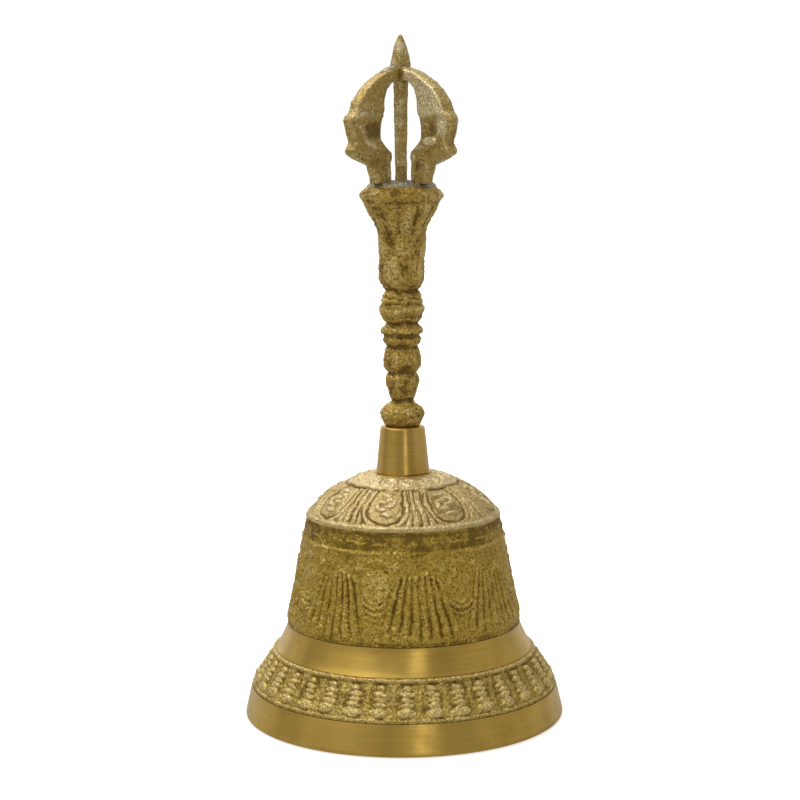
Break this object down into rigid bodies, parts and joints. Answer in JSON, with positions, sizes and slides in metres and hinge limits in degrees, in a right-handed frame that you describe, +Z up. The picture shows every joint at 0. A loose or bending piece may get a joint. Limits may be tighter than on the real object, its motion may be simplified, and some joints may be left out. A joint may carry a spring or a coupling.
{
  "type": "tibetan bell",
  "caption": "Brass hand bell with ornamented bands, a turned collar, a cast handle topped by a half-vajra head of curved prongs and a spike, and a clapper hung inside.",
  "frame": {"origin": "centre of the rim's plane, where the bell stands on a table", "axes": "+Z up along the bell's axis to the spike; the front faces -Y; the prongs stand on the diagonals between X and Y"},
  "size_m": [0.08, 0.08, 0.1684],
  "materials": {
    "cast_brass": "sand-cast relief with dark recesses, between turned and polished bands",
    "turned_brass": "turned and polished",
    "handle_brass": "rough cast, worn bright on the high spots",
    "solder": "dull grey solder",
    "steel": "dull",
    "iron": "dark, slightly rusted"
  },
  "bodies": {
    "bell": {"bell_body": "cast_brass", "neck_collar": "turned_brass", "handle_grip": "handle_brass", "base_solder": "solder", "centre_prong": "handle_brass", "prong_front_left": "handle_brass", "prong_front_right": "handle_brass", "prong_back_left": "handle_brass", "prong_back_right": "handle_brass", "eye_bolt": "steel", "crown_washer": "steel", "crown_nut": "steel"},
    "link": {"swing_link": "iron"},
    "clapper": {"clapper_rod": "iron", "clapper_bob": "turned_brass"}
  },
  "joints": [
    {"name": "link_swing", "type": "hinge", "parent": "bell", "child": "link", "pos_m": [0, 0, 0.0455], "axis": [1, 0, 0], "range_deg": [-33, 33]},
    {"name": "clapper_swing", "type": "hinge", "parent": "link", "child": "clapper", "pos_m": [0, 0, 0.0378], "axis": [0, 1, 0], "range_deg": [-12, 12]}
  ]
}
